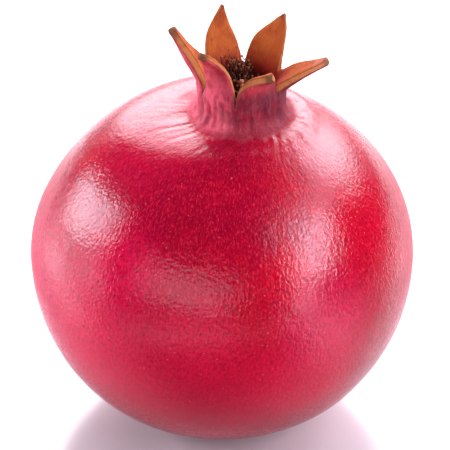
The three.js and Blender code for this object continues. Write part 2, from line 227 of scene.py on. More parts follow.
def lobeSpine(lobe, s):  # how far out and up, and the lean there
    steps = lobeForm["spineSteps"]
    t = np.linspace(0, s, steps + 1)
    lean = lobe["lean"] * smoothStep(0, lobe["rise"], t)
    lean = np.radians(lean + (lobe["curl"] - lobe["lean"]) * smoothStep(lobe["bend"], 1, t))
    step = s * lobe["length"] / steps
    middle = (lean[1:] + lean[:-1]) / 2
    return np.sin(middle).sum() * step, np.cos(middle).sum() * step, lean[-1]


def lobePoints(k, s, a, skin):  # a across from -1 to 1, skin from -1 inside to 1 outside
    lobe = lobes[k]
    a = np.asarray(a, float)
    skin = np.asarray(skin, float)
    middle = math.radians((lobe["notch"] + nextNotch(k)) / 2)
    halfAngle = math.radians((nextNotch(k) - lobe["notch"]) / 2)
    ringRadius = (calyx["rimOuter"] + calyx["rimInner"]) / 2
    thickness = calyx["rimOuter"] - calyx["rimInner"]
    out, up, lean = lobeSpine(lobe, s)
    narrowing = (1 - s ** lobe["taper"]) ** lobe["blunt"]
    narrowing = narrowing * (1 - lobeForm["pinch"] * smoothStep(0, lobeForm["pinchBy"], s))
    halfWidth = blend(lobe["tip"], ringRadius * halfAngle, narrowing)
    curvature = (1 - lobeForm["unroll"] * smoothStep(0, 1, s)) / ringRadius
    nearSide = np.clip(np.abs(a), 0, 1) ** lobeForm["thinPower"]
    thin = 1 - lobe["thin"] * nearSide * smoothStep(0, lobeForm["thinBy"], s)
    offset = skin * thin * blend(thickness, lobe["edge"], smoothStep(0, 1, s)) / 2
    turn = a * halfWidth * curvature
    flatAcross = np.sin(turn) * (1 / curvature + offset)
    flatOutward = np.cos(turn) * (1 / curvature + offset) - 1 / curvature
    rolled = math.radians(lobe["turn"]) * smoothStep(*lobeForm["rollFrom"], s)
    sideways = lobe["drift"] * s * s + lobe["bow"] * 4 * s * (1 - s)
    across = flatAcross * np.cos(rolled) + flatOutward * np.sin(rolled) + sideways
    outward = flatOutward * np.cos(rolled) - flatAcross * np.sin(rolled)
    radial = ringRadius + out + outward * np.cos(lean)
    x = calyx["offset"] + radial * np.cos(middle) - across * np.sin(middle)
    y = radial * np.sin(middle) + across * np.cos(middle)
    following = lobes[(k + 1) % len(lobes)]
    drop = lobe["drop"] * smoothStep(lobeForm["dropFrom"], 1, -a) ** 2
    drop = drop + following["drop"] * smoothStep(lobeForm["dropFrom"], 1, a) ** 2
    drop = drop * (1 - smoothStep(0, lobeForm["dropBy"], s))
    return np.stack([x, y, calyx["rimHeight"] + up - outward * np.sin(lean) - drop], -1)


class Shell:  # gathers rows of points, the marks that the finish reads, and the faces between them
    def __init__(self):
        self.points, self.marks, self.faces, self.count = [], [], [], 0

    def row(self, points, angles, along, inner=0.0, edge=0.0):
        points = np.atleast_2d(points)
        count = len(points)
        parts = [np.broadcast_to(np.asarray(v, float), count) for v in (angles, along, inner, edge)]
        self.points.append(points)
        self.marks.append(np.stack(parts, 1))
        self.count += count
        return np.arange(self.count - count, self.count)

    def band(self, lower, upper):
        quads = np.stack([lower, np.roll(lower, -1), np.roll(upper, -1), upper], 1)
        self.faces += quads.tolist()

    def fan(self, middle, row):
        self.faces += [(middle, a, b) for a, b in zip(row, np.roll(row, -1))]


def meshObject(name, points, faces):
    mesh = bpy.data.meshes.new(name)
    mesh.from_pydata((np.asarray(points) * mm).tolist(), [], faces)
    mesh.validate()
    mesh.polygons.foreach_set("use_smooth", [True] * len(mesh.polygons))
    mesh.update()
    piece = bpy.data.objects.new(name, mesh)
    bpy.context.collection.objects.link(piece)
    return piece


def addMark(mesh, name, values):
    mark = mesh.attributes.new(name, "FLOAT", "POINT")
    mark.data.foreach_set("value", np.asarray(values, np.float32))


def shoulderLift(angles, radius, height):  # the shoulder stands a little higher at the back
    lift = np.exp(-(angleGap(angles, rind["shoulderAngle"]) / rind["shoulderWidth"]) ** 2)
    lift = lift * math.exp(-((radius - rind["shoulderRadius"]) / rind["shoulderReach"]) ** 2)
    return lift * rind["shoulder"] * float(height > rind["equator"])


def ringPoints(angles, radius, height, offset=0.0):
    turn = np.radians(angles)
    lifted = radius + ridgeLift(angles, radius, height)
    if height > calyx["toeFrom"]:
        lifted = lifted + tubeRelief(angles, height)
    raised = height + shoulderLift(angles, radius, height)
    return np.stack([offset + lifted * np.cos(turn), lifted * np.sin(turn), raised], 1)


def addLobe(shell, k, outerRim, innerRim, notchRows, along):
    columns, sideRows = calyx["columns"], calyx["sideRows"]
    across = np.linspace(-1, 1, columns + 1)
    side = np.linspace(1, -1, sideRows + 2)[1:-1]
    bulge = 1 + lobeForm["edgeBulge"] * np.cos(side * math.pi / 2)
    a = np.concatenate([across, bulge, across[::-1], -bulge])
    skin = np.concatenate([np.ones(columns + 1), side, -np.ones(columns + 1), side[::-1]])
    low, high = lobes[k]["notch"], nextNotch(k)
    angles = blend(low, high, (np.clip(a, -1, 1) + 1) / 2)
    inner = (1 - skin) / 2
    edge = np.tile(np.concatenate([np.zeros(columns + 1), np.ones(sideRows)]), 2)
    total = len(outerRim)
    picks = (k * columns + np.arange(columns + 1)) % total
    below = np.concatenate([outerRim[picks], notchRows[(k + 1) % len(lobes)],
                            innerRim[picks][::-1], notchRows[k][::-1]])
    length = lobes[k]["length"]
    for i in range(1, calyx["stations"] + 1):
        s = 1 - (1 - i / calyx["stations"]) ** lobeForm["crowding"]
        above = shell.row(lobePoints(k, s, a, skin), angles, along + s * length, inner, edge)
        shell.band(below, above)
        below = above
    # the tip is rounded off
    last = lobePoints(k, 1.0, a, skin)
    middle = last.mean(0)
    _, _, lean = lobeSpine(lobes[k], 1.0)
    turn = math.radians((low + high) / 2)
    ahead = np.array([math.sin(lean) * math.cos(turn), math.sin(lean) * math.sin(turn), math.cos(lean)])
    depth = lobes[k]["edge"] * lobeForm["tipDepth"]
    for shrink in lobeForm["tipRings"]:
        lift = depth * math.sqrt(1 - shrink ** 2)
        ring = middle + (last - middle) * shrink + ahead * lift
        above = shell.row(ring, angles, along + length + lift, inner, np.maximum(edge, lobeForm["tipEdge"]))
        shell.band(below, above)
        below = above
    peak = shell.row(middle + ahead * depth, (low + high) / 2, along + length + depth, 0.5, 1.0)
    shell.fan(peak[0], below)


unevenness = {  # size of the lumps in millimetres, how high they stand, seed
    "lumps": (19.0, 0.22, 11), "ripples": (4.2, 0.035, 12), "creases": (2.3, 0.11, 13),
    "tubeGrain": (1.7, 0.1, 14), "tubeLumps": (3.1, 0.1, 15),
    "lobeLumps": (3.6, 0.16, 16), "lobeGrain": (1.4, 0.05, 17), "tubeFoot": (6.0, 0.5, 18),
    "warpX": (7.0, 0.35, 21), "warpY": (7.0, 0.35, 22), "warpZ": (7.0, 0.35, 23),
}
zones = {  # where each kind fades in or out, in millimetres
    "lobe": (-1.5, 2.5), "warp": (1, 8),  # past the rim
    "tube": (-4.5, -1), "rindTop": (-8, -2),  # before the tube's start
    "rindFoot": (0.6, 8), "creaseIn": (11.6, 13.4), "creaseOut": (15, 25), "creaseAbove": 60,
}
grainShape = {"radius": 30, "squeeze": 0.35}  # the grain is drawn out along the growth
# where the tube's colour starts, and the fold at its foot that is darkened with painted shade
footMark = {"height": 80.9, "blur": 0.9, "radius": 17, "creaseRadius": 12.4, "creaseWidth": 0.9, "above": 70}


def zone(name, value):
    return smoothStep(*zones[name], value)


def uneven(points, name):
    size, amount, seed = unevenness[name]
    return amount * softNoise(points, size, seed)


def rimPoints(skin):  # the ring that the lobes grow from
    across = np.linspace(-1, 1, calyx["columns"], endpoint=False)
    return np.concatenate([lobePoints(k, 0.0, across, skin) for k in range(len(lobes))])


def addBody(shell, angles, profile, arc):  # stem hollow, rind and the foot of the tube
    ceiling, mouth = stemEnd["socketTop"], stemEnd["socketMouth"]
    socket, hollow = stemEnd["socketRadius"], stemEnd["hollowRadius"]
    top = shell.row((0, 0, ceiling), 0, stemEnd["middleMark"])[0]
    underside = [(socket * stemEnd["capShare"], ceiling), (socket, ceiling), (socket, mouth)]
    for t in np.linspace(stemEnd["hollowStart"], 1, stemEnd["hollowRows"]):
        height = mouth * (1 - t) ** stemEnd["hollowPower"] * (1 - stemEnd["hollowEase"] * t)
        underside.append((blend(socket, hollow, t), height))
    rows = []
    for radius, height in underside:
        rows.append(shell.row(ringPoints(angles, radius, height), angles, radius - hollow))
    shell.fan(top, rows[0][::-1])
    for (radius, height), length in zip(profile, arc):
        shift = 0.0
        if height >= rind["equator"]:
            shift = calyx["offset"] * (1 - smoothStep(*calyx["offsetFrom"], radius))
        rows.append(shell.row(ringPoints(angles, radius, max(height, 0.0), shift), angles, length))
    return rows


def addTube(shell, angles, start):  # rows up the tube's outside, to below the rim
    rise = calyx["rimHeight"] - calyx["waistHeight"]
    turn = np.radians(angles)
    outward = np.stack([np.cos(turn), np.sin(turn), 0 * turn], 1)
    waist = ringPoints(angles, calyx["waistRadius"], calyx["waistHeight"], calyx["offset"])
    waist -= outward * tubeRelief(angles, calyx["waistHeight"])[:, None]
    rim = rimPoints(1.0)
    rows = []
    for t in np.linspace(0, 1, calyx["tubeRows"] + 1)[1:-1]:
        relief = tubeRelief(angles, calyx["waistHeight"] + t * rise) * (1 - t ** calyx["reliefPower"])
        rows.append(shell.row(blend(waist, rim, t) + outward * relief[:, None], angles, start + t * rise))
    return rows


def addCup(shell, angles, above, rimLength):  # the tube's inside, down to its floor
    inside = [(calyx["rimInner"], calyx["rimHeight"] - calyx["cupFloor"])] + list(calyx["cupWall"])
    inside = np.array(inside)
    turn = np.radians(angles)
    depth = 0.0
    for i in range(1, len(inside)):
        for t in (0.5, 1.0):
            radius, rise = blend(inside[i - 1], inside[i], t)
            depth += np.hypot(*(inside[i] - inside[i - 1])) / 2
            points = np.stack([calyx["offset"] + radius * np.cos(turn), radius * np.sin(turn),
                               np.full(len(angles), calyx["cupFloor"] + rise)], 1)
            below = shell.row(points, angles, rimLength - depth, 1.0)
            shell.band(above, below)
            above = below
    middle = shell.row((calyx["offset"], 0, calyx["cupFloor"]), 0, rimLength - depth - inside[-1][0], 1.0)
    shell.fan(middle[0], above)


def growUneven(points, normals, marks, tubeStart, rimLength):  # lumps, ripples, creases and warped lobes
    angle, along, inner, _ = marks.T
    outside = inner < 0.01
    turn = np.radians(angle)
    girth = grainShape["radius"]
    grain = np.stack([np.cos(turn) * girth, np.sin(turn) * girth, along * grainShape["squeeze"]], 1)
    radius = np.hypot(points[:, 0] - calyx["offset"], points[:, 1])
    onLobe = zone("lobe", along - rimLength)
    onTube = zone("tube", along - tubeStart) * (1 - onLobe)
    onRind = zone("rindFoot", points[:, 2]) * (1 - zone("rindTop", along - tubeStart)) * outside
    nearCalyx = zone("creaseIn", radius) * (1 - zone("creaseOut", radius))
    nearCalyx = nearCalyx * (points[:, 2] > zones["creaseAbove"])
    shift = uneven(points, "lumps") * onRind
    shift += uneven(points, "ripples") * onRind
    shift += uneven(grain, "creases") * nearCalyx * outside
    shift += (uneven(grain, "tubeGrain") + uneven(points, "tubeLumps")) * onTube * outside
    shift += (uneven(points, "lobeLumps") + uneven(points, "lobeGrain")) * onLobe
    points = points + normals * shift[:, None]
    warp = np.stack([uneven(points, name) for name in ("warpX", "warpY", "warpZ")], 1)
    points = points + warp * zone("warp", along - rimLength)[:, None]
    foot = footMark["height"] + uneven(grain, "tubeFoot")
    return points, radius, foot


def markFruit(mesh, points, marks, radius, foot, rimLength):  # what the finish reads
    angle, along, inner, edge = marks.T
    tipward = np.zeros(len(points))
    for k, lobe in enumerate(lobes):
        mine = (angle >= lobe["notch"]) & (angle <= nextNotch(k) + 1e-6)
        tipward[mine] = np.clip((along[mine] - rimLength) / lobe["length"], -1, 1.2)
    turn = np.radians(angle)
    creaseShade = np.exp(-((radius - footMark["creaseRadius"]) / footMark["creaseWidth"]) ** 2)
    tube = smoothStep(foot, foot + footMark["blur"], points[:, 2]) * (radius < footMark["radius"])
    addMark(mesh, "inner", inner)
    addMark(mesh, "edge", edge)
    addMark(mesh, "tipward", tipward)
    addMark(mesh, "along", along)
    addMark(mesh, "tube", tube)
    # the foot mark: the fold at the tube's foot, darkened there with painted shade
    addMark(mesh, "foot", creaseShade * (points[:, 2] > footMark["above"]) * (inner < 0.01))
    addMark(mesh, "turnX", np.cos(turn))
    addMark(mesh, "turnY", np.sin(turn))


def makeFruit():
    shell = Shell()
    angles = columnAngles()
    profile = outerProfile()
    arc = np.concatenate([[0], np.cumsum(np.hypot(*np.diff(profile, axis=0).T))])
    tubeStart = arc[-1]
    rimLength = tubeStart + calyx["rimHeight"] - calyx["waistHeight"]
    rows = addBody(shell, angles, profile, arc)
    outerRim = shell.row(rimPoints(1.0), angles, rimLength)
    innerRim = shell.row(rimPoints(-1.0), angles, rimLength, 1.0)
    side = np.linspace(1, -1, calyx["sideRows"] + 2)[1:-1]
    notchRows = []
    for k, lobe in enumerate(lobes):
        points = lobePoints(k, 0.0, np.full(len(side), -1.0), side)
        notchRows.append(shell.row(points, lobe["notch"], rimLength, (1 - side) / 2, 1.0))
    rows += addTube(shell, angles, tubeStart) + [outerRim]
    for lower, upper in zip(rows[:-1], rows[1:]):
        shell.band(lower, upper)
    for k in range(len(lobes)):
        addLobe(shell, k, outerRim, innerRim, notchRows, rimLength)
    addCup(shell, angles, innerRim, rimLength)

    points, marks = np.concatenate(shell.points), np.concatenate(shell.marks)
    piece = meshObject("fruitRind", points, shell.faces)
    mesh = piece.data
    normals = np.zeros(points.size)
    mesh.vertex_normals.foreach_get("vector", normals)
    points, radius, foot = growUneven(points, normals.reshape(-1, 3), marks, tubeStart, rimLength)
    mesh.vertices.foreach_set("co", (points * mm).ravel())
    mesh.update()
    markFruit(mesh, points, marks, radius, foot, rimLength)
    print("fruit:", len(mesh.polygons), "faces")
    return piece


# round parts: filaments, anthers, style and stem
def turnsRound(sides):
    return np.linspace(0, 2 * math.pi, sides, endpoint=False)


def ringFaces(rows, sides):  # faces between rings of points, with both ends closed
    faces = []
    for i in range(rows - 1):
        for j in range(sides):
            a, b = i * sides + j, i * sides + (j + 1) % sides
            faces.append((a, b, b + sides, a + sides))
    faces.append(tuple(range(sides))[::-1])
    faces.append(tuple(range((rows - 1) * sides, rows * sides)))
    return faces


def tubeAlong(path, radii, sides):
    path = np.asarray(path, float)
    ahead = np.gradient(path, axis=0)
    ahead /= np.linalg.norm(ahead, axis=1)[:, None]
    side = np.cross(ahead[0], (0.31, 0.52, 0.79))  # any direction across the path
    points = []
    turn = turnsRound(sides)
    for centre, direction, radius in zip(path, ahead, radii):
        side = side - direction * np.dot(side, direction)
        side /= np.linalg.norm(side)
        other = np.cross(direction, side)
        ring = centre + radius * (np.outer(np.cos(turn), side) + np.outer(np.sin(turn), other))
        points.append(ring)
    return np.concatenate(points), ringFaces(len(path), sides)


anther = {"sides": 8, "rings": 5, "stretch": 1.5, "pole": 0.12}


def antherAt(centre, size, direction):  # a bean-shaped grain
    direction = np.asarray(direction, float) / np.linalg.norm(direction)
    turns = np.linspace(math.pi, 0, anther["rings"] + 2)
    path = [centre + direction * size * anther["stretch"] * math.cos(t) for t in turns]
    radii = [max(size * math.sin(t), size * anther["pole"]) for t in turns]
    return tubeAlong(path, radii, anther["sides"])


tuft = {
    "filaments": 330, "seed": 5, "steps": 16, "sides": 5,
    "thickness": 0.12, "thicknessRange": (0.75, 1.3), "taper": (1.3, 0.8),
    "anther": 0.25, "antherRange": (0.7, 1.3), "antherShare": 0.85, "antherTilt": 0.12,
    "foot": 84.2, "root": 1.2, "spread": 6.9, "limit": 7.3, "reach": (2.2, 6.0), "backLift": 1.5,
    "sideDrop": 0.65, "sideFrom": (1.4, 4.2), "sideShift": 0.3,
    "backShare": 0.26, "backTurn": 99, "backSpread": 15, "backRadius": (5.2, 7.2), "backReach": (4.5, 10.0),
    "lean": (0.2, 2.6), "curl": (0.35, 1.1), "winding": (3.0, 8.5),
    "droop": (0.0, 9.6), "droopFrom": 0.65, "droopPower": 1.5,
}
mat = {  # matted filaments under the tuft
    "radius": 7.0, "sides": 60, "rings": 16, "crowding": 0.8, "sink": 0.5, "foot": 1.9, "footShare": 0.95,
    "lumps": (1.1, 1.1, 31), "grain": (0.5, 0.5, 32), "edge": (5.6, 7.0), "edgeDrop": 1.2, "tone": 0.15,
}


class Bundle:  # gathers parts into one mesh, with a tone for each and a mark for the anthers
    def __init__(self):
        self.points, self.faces, self.shade, self.anther, self.count = [], [], [], [], 0

    def add(self, part, isAnther, tone):
        points, faces = part
        self.points.append(points)
        self.faces += [tuple(int(i) + self.count for i in face) for face in faces]
        self.shade += [tone] * len(points)
        self.anther += [isAnther] * len(points)
        self.count += len(points)


def filamentRoot(rng, atBack):  # its turn, its distance from the middle, and how high it reaches
    if atBack:
        turn = math.radians(rng.normal(tuft["backTurn"], tuft["backSpread"]))
        return turn, rng.uniform(*tuft["backRadius"]), rng.uniform(*tuft["backReach"])
    turn = rng.uniform(0, 2 * math.pi)
    radius = tuft["spread"] * math.sqrt(rng.uniform(0.05, 1))
    reach = rng.uniform(*tuft["reach"]) + tuft["backLift"] * max(math.sin(turn), 0)
    aside = abs(radius * math.cos(turn) + tuft["sideShift"])
    return turn, radius, reach * (1 - tuft["sideDrop"] * float(smoothStep(*tuft["sideFrom"], aside)))


def filamentPath(rng, turn, radius, reach):
    lean, leanTurn = rng.uniform(*tuft["lean"]), rng.uniform(0, 2 * math.pi)
    curl, curlTurn = rng.uniform(*tuft["curl"]), rng.uniform(0, 2 * math.pi)
    winding = rng.uniform(*tuft["winding"]) * rng.choice((-1, 1))
    droop = rng.uniform(*tuft["droop"])
    path = []
    for t in np.linspace(0, 1, tuft["steps"]):
        swing = curlTurn + winding * t
        x = radius * math.cos(turn) + lean * t * math.cos(leanTurn) + curl * t * math.cos(swing)
        y = radius * math.sin(turn) + lean * t * math.sin(leanTurn) + curl * t * math.sin(swing)
        inside = max(math.hypot(x, y) / tuft["limit"], 1)
        height = tuft["foot"] - tuft["root"] + t * (reach + tuft["root"])
        height -= droop * max(t - tuft["droopFrom"], 0) ** tuft["droopPower"]
        path.append((calyx["offset"] + x / inside, y / inside, height))
    return np.array(path)


def mattedCore():
    sides, rings = mat["sides"], mat["rings"]
    points, faces = [], []
    for i in range(rings + 1):
        r = mat["radius"] * (i / rings) ** mat["crowding"]
        for j in range(sides):
            a = 2 * math.pi * j / sides
            points.append((r * math.cos(a), r * math.sin(a), 0.0))
    points = np.array(points)
    points[:, 2] = tuft["foot"] - mat["sink"]
    for key in ("lumps", "grain"):
        size, amount, seed = mat[key]
        points[:, 2] += amount * softNoise(points * (1, 1, 0), size, seed)
    points[:, 2] -= mat["edgeDrop"] * smoothStep(*mat["edge"], np.hypot(points[:, 0], points[:, 1]))
    points[:, 0] += calyx["offset"]
    for i in range(rings):
        for j in range(sides):
            a, b = i * sides + j, i * sides + (j + 1) % sides
            faces.append((a, a + sides, b + sides, b))
    floor, edge = len(points), rings * sides
    lower = points[-sides:].copy()
    lower[:, 2] = calyx["cupFloor"] + mat["foot"]
    lower[:, 0] = calyx["offset"] + (lower[:, 0] - calyx["offset"]) * mat["footShare"]
    for j in range(sides):
        k = (j + 1) % sides
        faces.append((edge + j, floor + j, floor + k, edge + k))
    faces.append(tuple(floor + j for j in range(sides))[::-1])
    return np.concatenate([points, lower]), faces


def makeStamens():
    rng = np.random.default_rng(tuft["seed"])
    bundle = Bundle()
    for i in range(tuft["filaments"]):  # the tallest stand at the back, against the wall
        path = filamentPath(rng, *filamentRoot(rng, i < tuft["backShare"] * tuft["filaments"]))
        tone = rng.uniform()
        width = tuft["thickness"] * rng.uniform(*tuft["thicknessRange"])
        first, last = tuft["taper"]
        radii = np.linspace(width * first, width * last, tuft["steps"])
        bundle.add(tubeAlong(path, radii, tuft["sides"]), 0.0, tone)
        ahead = path[-1] - path[-2] + rng.normal(0, tuft["antherTilt"], 3)
        size = tuft["anther"] * rng.uniform(*tuft["antherRange"])
        if rng.uniform() < tuft["antherShare"]:
            bundle.add(antherAt(path[-1], size, ahead), 1.0, rng.uniform())
    bundle.add(mattedCore(), 0.0, mat["tone"])
    piece = meshObject("stamenTuft", np.concatenate(bundle.points), bundle.faces)
    addMark(piece.data, "shade", bundle.shade)
    addMark(piece.data, "anther", bundle.anther)
    print("stamens:", len(piece.data.polygons), "faces")
    return piece


turnedLumps = {"size": 0.7, "squeeze": (1, 1, 0.5)}  # millimetres; the lumps are drawn out upwards


def turnedObject(name, profile, shape):  # turned round its axis, then roughened
    turn = turnsRound(shape["sides"])
    points = []
    for radius, height in profile:
        ring = [radius * np.cos(turn), radius * np.sin(turn), np.full(len(turn), height)]
        points.append(np.stack(ring, 1))
    points = np.concatenate(points)
    lumps = softNoise(points * turnedLumps["squeeze"], turnedLumps["size"], shape["seed"])
    points[:, :2] *= 1 + shape["rough"] * lumps[:, None]
    points[:, 0] += shape["offset"]
    return meshObject(name, points, ringFaces(len(profile), shape["sides"]))


styleShape = {
    "radius": 0.5, "foot": 82.4, "top": 89.8, "rows": 14,
    "knob": 0.62, "flat": 0.85, "knobSpan": (-0.9, 0.94), "knobRows": 12,  # from its neck to its crown
    "sides": 24, "offset": calyx["offset"], "seed": 41, "rough": 0.16,
}


def makeStyle():
    foot, top, knob, radius = (styleShape[key] for key in ("foot", "top", "knob", "radius"))
    profile = [(radius, h) for h in np.linspace(foot, top - knob, styleShape["rows"])]
    for t in np.linspace(*styleShape["knobSpan"], styleShape["knobRows"]):
        profile.append((knob * math.sqrt(1 - t * t), top + knob * styleShape["flat"] * t))
    return turnedObject("styleStigma", profile, styleShape)


stub = {
    "radius": 2.6, "top": 4.1, "end": 0.7, "sides": 40, "offset": 0.0, "seed": 51, "rough": 0.06,
    "cut": ((0.25, 0.12), (1.17, 0.05), (2.028, 0.0), (2.418, 0.15)),  # radius, height above the cut end
    "sideFrom": 0.4, "rows": 12, "waviness": 0.03, "waves": 2.2,
}


def makeStub():
    end, wave = stub["end"], stub["waviness"]
    profile = [(radius, end + height) for radius, height in stub["cut"]]
    for h in np.linspace(end + stub["sideFrom"], stub["top"], stub["rows"]):
        profile.append((stub["radius"] * (1 - wave + wave * math.cos(h * stub["waves"])), h))
    return turnedObject("stemStub", profile, stub)


# finishes
def makeNode(tree, kind, inputs=None, **settings):
    node = tree.nodes.new(kind)
    for name, value in settings.items():
        setattr(node, name, value)
    for key, value in (inputs or {}).items():
        feed(tree, node.inputs[key], value)
    return node


def feed(tree, socket, value):
    if isinstance(value, bpy.types.NodeSocket):
        tree.links.new(value, socket)
    else:
        socket.default_value = value


def maths(tree, operation, a, b=0.0):
    return makeNode(tree, "ShaderNodeMath", {0: a, 1: b}, operation=operation).outputs[0]


def times(tree, a, b):
    return maths(tree, "MULTIPLY", a, b)


def plus(tree, *terms):
    total = terms[0]
    for term in terms[1:]:
        total = maths(tree, "ADD", total, term)
    return total


def vectorMaths(tree, operation, a, b=None, output="Vector"):
    inputs = {0: a} if b is None else {0: a, 1: b}
    return makeNode(tree, "ShaderNodeVectorMath", inputs, operation=operation).outputs[output]


def ramp(tree, value, low, high, toLow=0.0, toHigh=1.0):  # smooth step between two values
    inputs = {"Value": value, "From Min": low, "From Max": high, "To Min": toLow, "To Max": toHigh}
    return makeNode(tree, "ShaderNodeMapRange", inputs, interpolation_type="SMOOTHSTEP").outputs[0]


def mixColour(tree, factor, a, b):
    node = makeNode(tree, "ShaderNodeMix", {0: factor}, data_type="RGBA")
    for index, value in ((6, a), (7, b)):
        feed(tree, node.inputs[index], value if isinstance(value, bpy.types.NodeSocket) else (*value, 1.0))
    return node.outputs[2]


def layered(tree, colour, layers):  # each layer is how much of it shows, and its tone
    for amount, tone in layers:
        colour = mixColour(tree, amount, colour, tone)
    return colour


def noiseAt(tree, place, scale, detail, roughness=0.5):
    inputs = {"Vector": place, "Scale": scale, "Detail": detail, "Roughness": roughness}
    return makeNode(tree, "ShaderNodeTexNoise", inputs).outputs[0]


def readMark(tree, name):
    return makeNode(tree, "ShaderNodeAttribute", attribute_name=name).outputs["Fac"]


def newGroup(name, inputs, outputs):
    group = bpy.data.node_groups.new(name, "ShaderNodeTree")
    group.interface.new_socket(name="Vector", in_out="INPUT", socket_type="NodeSocketVector")
    for label, value in inputs.items():
        socket = group.interface.new_socket(name=label, in_out="INPUT", socket_type="NodeSocketFloat")
        socket.default_value = value
    for label in outputs:
        group.interface.new_socket(name=label, in_out="OUTPUT", socket_type="NodeSocketFloat")
    return group, group.nodes.new("NodeGroupInput").outputs, group.nodes.new("NodeGroupOutput").inputs


speckleShape = {"core": 0.4, "clusters": 0.35, "clusterFrom": (0.45, 0.6)}  # a dot is full in its core


def makePatches():  # uneven tone, in soft patches
    group, given, result = newGroup("unevenTone", {"Size": 10.0, "Low": 0.4, "High": 0.6}, ("Mask",))
    noise = noiseAt(group, given["Vector"], maths(group, "DIVIDE", 1.0, given["Size"]), detail=3.0)
    feed(group, result["Mask"], ramp(group, noise, given["Low"], given["High"]))
    return group


def makeStreaks():  # long fine streaks that run with the growth
    inputs = {"Fineness": 1.0, "Stretch": 0.2, "Low": 0.4, "High": 0.65}
    group, given, result = newGroup("growthStreaks", inputs, ("Mask", "Height"))
    squeeze = makeNode(group, "ShaderNodeCombineXYZ", {0: 1.0, 1: 1.0, 2: given["Stretch"]}).outputs[0]
    longwise = vectorMaths(group, "MULTIPLY", given["Vector"], squeeze)
    noise = noiseAt(group, longwise, given["Fineness"], detail=4.0, roughness=0.6)
    feed(group, result["Mask"], ramp(group, noise, given["Low"], given["High"]))
    feed(group, result["Height"], noise)
    return group


def makeSpeckle():  # small scattered dots, thicker in some places than in others
    group, given, result = newGroup("speckle", {"Spacing": 2.0, "Dot": 0.15}, ("Mask",))
    scale = maths(group, "DIVIDE", 1.0, given["Spacing"])
    cells = makeNode(group, "ShaderNodeTexVoronoi", {"Vector": given["Vector"], "Scale": scale})
    core = times(group, given["Dot"], speckleShape["core"])
    dot = ramp(group, cells.outputs["Distance"], given["Dot"], core)
    clusters = noiseAt(group, given["Vector"], times(group, scale, speckleShape["clusters"]), detail=2.0)
    thicker = ramp(group, clusters, *speckleShape["clusterFrom"])
    feed(group, result["Mask"], times(group, dot, thicker))
    return group


unevenTone = makePatches()
growthStreaks = makeStreaks()
speckle = makeSpeckle()


def useGroup(tree, group, place, values, output="Mask"):
    inputs = {"Vector": place, **values}
    return makeNode(tree, "ShaderNodeGroup", inputs, node_tree=group).outputs[output]


def newMaterial(name, roughness, specular=0.5, tint=(1.0, 1.0, 1.0)):
    material = bpy.data.materials.new(name)
    material.use_nodes = True
    tree = material.node_tree
    shader = tree.nodes["Principled BSDF"]
    shader.inputs["Roughness"].default_value = roughness
    shader.inputs["Specular IOR Level"].default_value = specular
    shader.inputs["Specular Tint"].default_value = (*tint, 1.0)
    coords = makeNode(tree, "ShaderNodeTexCoord").outputs["Object"]
    place = makeNode(tree, "ShaderNodeVectorMath", {0: coords, "Scale": 1 / mm}, operation="SCALE").outputs[0]
    return material, tree, shader.inputs, place


rindLook = {
    "deep": (0.25, 0.0002, 0.017), "bright": (0.42, 0.0006, 0.012), "vivid": (0.58, 0.0003, 0.018),
    "rose": (0.66, 0.007, 0.082), "warm": (0.80, 0.006, 0.055), "magenta": (0.64, 0.001, 0.06),
    "straw": (0.46, 0.07, 0.035), "pale": (0.7, 0.22, 0.2), "light": (0.58, 0.003, 0.03),
    "specksAndGlints": (0.66, 0.14, 0.19), "fleck": (0.58, 0.014, 0.050), "tube": (0.25, 0.003, 0.020),
    "tubePale": (0.50, 0.12, 0.15), "tubeLitPink": (0.70, 0.08, 0.14), "plum": (0.10, 0.002, 0.016),
    "roughness": 0.12, "specular": 0.45, "glossTint": (0.62, 0.55, 0.65),
}
fleshLook = {
    "outer": (0.60, 0.05, 0.065), "inner": (0.52, 0.13, 0.025), "innerDeep": (0.36, 0.07, 0.014),
    "crimson": (0.36, 0.03, 0.018), "cup": (0.10, 0.003, 0.004), "rim": (0.46, 0.165, 0.055),
    "scar": (0.10, 0.03, 0.012), "roughness": 0.6,
}
toneSpots = (  # where on the rind, how wide in millimetres, towards which tone, how strongly; two plum spots are painted shade
    ((33, -24, 64), 16, "bright", 1.0),
    ((10, -44, 54), 12, "bright", 0.9),
    ((-45, -10, 36), 30, "rose", 0.95),
    ((-32, -34, 40), 18, "rose", 0.7),
    ((-42, 12, 60), 15, "straw", 0.2),
    ((-25, -37, 38), 20, "warm", 0.55),
    ((-4, -42, 26), 23, "warm", 0.55),
    ((20, -40, 33), 18, "warm", 0.5),
    ((-24, -35, 60), 13, "magenta", 0.95),
    ((-46, 6, 48), 13, "deep", 0.35),
    ((16, -40, 61), 8, "vivid", 0.8),
    ((24, -38, 48), 13, "rose", 0.6),
    ((-6, -45, 47), 12, "warm", 0.5),
    # painted shade, low on the front
    ((4, -38, 16), 20, "plum", 0.28),
    ((-12, -33, 73), 13, "plum", 0.25),
    # painted shade, just under the tube's front
    ((3, -19, 82), 9, "plum", 0.5),
    ((26, -13, 78), 12, "deep", 0.5),
    ((-18, -14, 78), 17, "rose", 0.25),
    ((44, -5, 34), 20, "rose", 0.35),
    ((10, 40, 60), 22, "bright", 0.7),
    ((-20, 38, 40), 24, "rose", 0.5),
)
toneSpotEdge = (1.3, 0.25)  # where a spot starts and where it is full, in shares of its width
